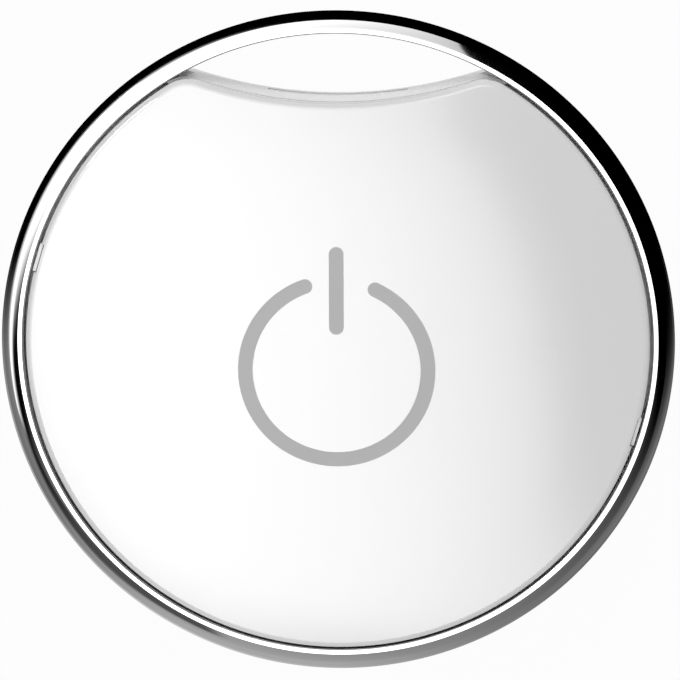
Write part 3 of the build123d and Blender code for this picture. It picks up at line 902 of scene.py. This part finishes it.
def add_tent():
    """What the polished ring and the glossy face mirror: a softbox overhead, whose right edge is
    sharp past the fob's head, a grey and black surround, and the same round the floor."""

    def softbox(row, column):
        """A place in the softbox, from its foot to its head and from its right edge to its left."""
        y = SOFTBOX_BOTTOM + (SOFTBOX_TOP - SOFTBOX_BOTTOM) * row
        right = softbox_edge(y) + EDGE_SOFTNESS * (1 - soft_step(*HEAD_SHARP, y))
        x = right - (right - SOFTBOX_LEFT) * column**SOFTBOX_CROWDING
        return (x * TENT_HEIGHT, y * TENT_HEIGHT, TENT_HEIGHT), softbox_glow(x, y)

    def surround(row, column):
        """A place in the dome round the softbox, from the horizon up and once round."""
        height = math.radians(90 * row)
        turn = math.radians(360 * column)
        point = (
            TENT_RADIUS * math.cos(height) * math.cos(turn),
            TENT_RADIUS * math.cos(height) * math.sin(turn),
            TENT_RADIUS * math.sin(height),
        )
        return point, surround_glow(compass(point[0], point[1]), 90 * row)

    def ground(row, column):
        """A place in the ring round the fob's foot, from inside outwards and once round."""
        reach = GROUND_GLOW_INNER + (TENT_RADIUS - GROUND_GLOW_INNER) * row
        turn = math.radians(360 * column)
        point = (reach * math.cos(turn), reach * math.sin(turn), GROUND_GLOW_LEVEL)
        angle = compass(point[0], point[1])
        glow = max(horizon_glow(angle), horizon_glow(angle - GROUND_TURN))
        return point, GROUND_SHARE * glow + GROUND_GLOW * soft_window(angle, *GROUND_SPAN)

    add_glow("tent_softbox", *SOFTBOX_GRID, softbox)
    add_glow("tent_surround", *SURROUND_GRID, surround)
    add_glow("tent_ground", *GROUND_GRID, ground)


def seen_share(tree):
    """1 for a ray that the camera sees, by itself or in a reflection or through glass, else 0."""
    path = tree.nodes.new("ShaderNodeLightPath")
    total = path.outputs["Is Camera Ray"]
    for kind in ("Is Glossy Ray", "Is Transmission Ray"):
        adding = tree.nodes.new("ShaderNodeMath")
        adding.operation = "ADD"
        adding.use_clamp = True
        tree.links.new(total, adding.inputs[0])
        tree.links.new(path.outputs[kind], adding.inputs[1])
        total = adding.outputs[0]
    return total


def floor_material():
    """White to the camera and in reflections, with a little of the object's shadow left in it."""
    material = bpy.data.materials.new("floor_white")
    material.use_nodes = True
    tree = material.node_tree
    bsdf = tree.nodes["Principled BSDF"]
    bsdf.inputs["Base Color"].default_value = (*grey(FLOOR_GREY), 1.0)
    bsdf.inputs["Roughness"].default_value = FLOOR_ROUGHNESS
    glow = tree.nodes.new("ShaderNodeEmission")
    glow.inputs["Strength"].default_value = 1.0
    share = tree.nodes.new("ShaderNodeMath")
    share.operation = "MULTIPLY"
    share.inputs[1].default_value = FLOOR_WHITE
    tree.links.new(seen_share(tree), share.inputs[0])
    mix = tree.nodes.new("ShaderNodeMixShader")
    tree.links.new(share.outputs[0], mix.inputs["Fac"])
    tree.links.new(bsdf.outputs["BSDF"], mix.inputs[1])
    tree.links.new(glow.outputs["Emission"], mix.inputs[2])
    tree.links.new(mix.outputs["Shader"], tree.nodes["Material Output"].inputs["Surface"])
    return material


def add_floor():
    """Lay a plain square floor under the fob."""
    corners = [
        (-FLOOR_REACH, -FLOOR_REACH, 0), (FLOOR_REACH, -FLOOR_REACH, 0),
        (FLOOR_REACH, FLOOR_REACH, 0), (-FLOOR_REACH, FLOOR_REACH, 0),
    ]
    floor = add_mesh("floor", corners, [(0, 1, 2, 3)])
    floor.data.materials.append(floor_material())


def add_world():
    """White behind the object and in what it mirrors; a soft even fill for what it lights."""
    world = bpy.data.worlds.new("studio")
    bpy.context.scene.world = world
    world.use_nodes = True
    tree = world.node_tree
    background = tree.nodes["Background"]
    background.inputs["Color"].default_value = (1, 1, 1, 1)
    fill = tree.nodes.new("ShaderNodeMath")
    fill.operation = "MULTIPLY_ADD"
    fill.inputs[1].default_value = 1.0 - WORLD_FILL
    fill.inputs[2].default_value = WORLD_FILL
    tree.links.new(seen_share(tree), fill.inputs[0])
    tree.links.new(fill.outputs[0], background.inputs["Strength"])


def add_lamp(name, slopes, size, strength):
    """Add a soft lamp overhead, turned to the object. Reflections show the tent instead."""
    data = bpy.data.lights.new(name, "AREA")
    data.shape = "DISK"
    data.size = size
    data.energy = strength
    lamp = bpy.data.objects.new(name, data)
    lamp.location = Vector((*slopes, 1.0)).normalized() * LAMP_DISTANCE
    lamp.rotation_mode = "QUATERNION"
    lamp.rotation_quaternion = lamp.location.to_track_quat("Z", "Y")
    lamp.visible_glossy = False
    bpy.context.scene.collection.objects.link(lamp)


# Camera, floor and light
tent_glow = glow_material()
add_camera()
add_world()
add_floor()
add_lamp("key", *KEY_LAMP)
add_lamp("back", *BACK_LAMP)
add_tent()

# Materials of the frame's nodes, and the ring
steel = (0.7, 0.71, 0.72)
board_green = board_mask()
shell_white = moulded_plastic("shell_white", grey(0.91), 0.22)
black_plastic = moulded_plastic("plastic_black", grey(0.022), 0.45, 8e-7)
tin = solder_tin()
gold = rolled_metal("contact_gold", (0.83, 0.66, 0.36), 0.25)
add_ring(polished_metal())
switch_steel = rolled_metal("switch_steel", scaled(steel, 1.08), 0.3)
assign(gloss_face(), "button_cap")
assign(symbol_ink(), "power_symbol")
assign(shell_white, "housing", "rear_cover")
assign(board_green, "circuit_board")
assign(soft_rubber(), "cover_seal")
assign(open_foam(), "cell_pad")
assign(turned_metal("cell_steel", steel, 0.28), "cell_can", "cell_cap")
assign(moulded_plastic("gasket_blue", (0.02, 0.035, 0.05), 0.4), "cell_gasket")
assign(rolled_metal("screw_steel", steel, 0.3, (1, 1, 1)), "board_screws")
assign(black_plastic, "switch_base", "switch_plunger", "cell_holder")
assign(switch_steel, "switch_plate")
assign(speckled("chip_black", grey(0.012), grey(0.028), 0.55), "radio_chip")
assign(rolled_metal("crystal_lid", (0.74, 0.72, 0.66), 0.3), "crystal")
assign(speckled("antenna_ceramic", (0.62, 0.67, 0.62), (0.7, 0.74, 0.7), 0.45), "chip_antenna")
assign(speckled("capacitor_tan", (0.27, 0.17, 0.09), (0.36, 0.24, 0.13), 0.4), "capacitors")
assign(speckled("resistor_black", grey(0.015), grey(0.035), 0.35), "resistors")
assign(gold, "positive_contact", "negative_contact")

# Small parts that the frame leaves to the scene
add_end_caps(tin)
add_chip_leads(tin)
add_board_underside(tin, gold, board_green)
add_ejector_marks(shell_white)
add_snap_dome(switch_steel)

bpy.context.scene.view_settings.view_transform = "Standard"
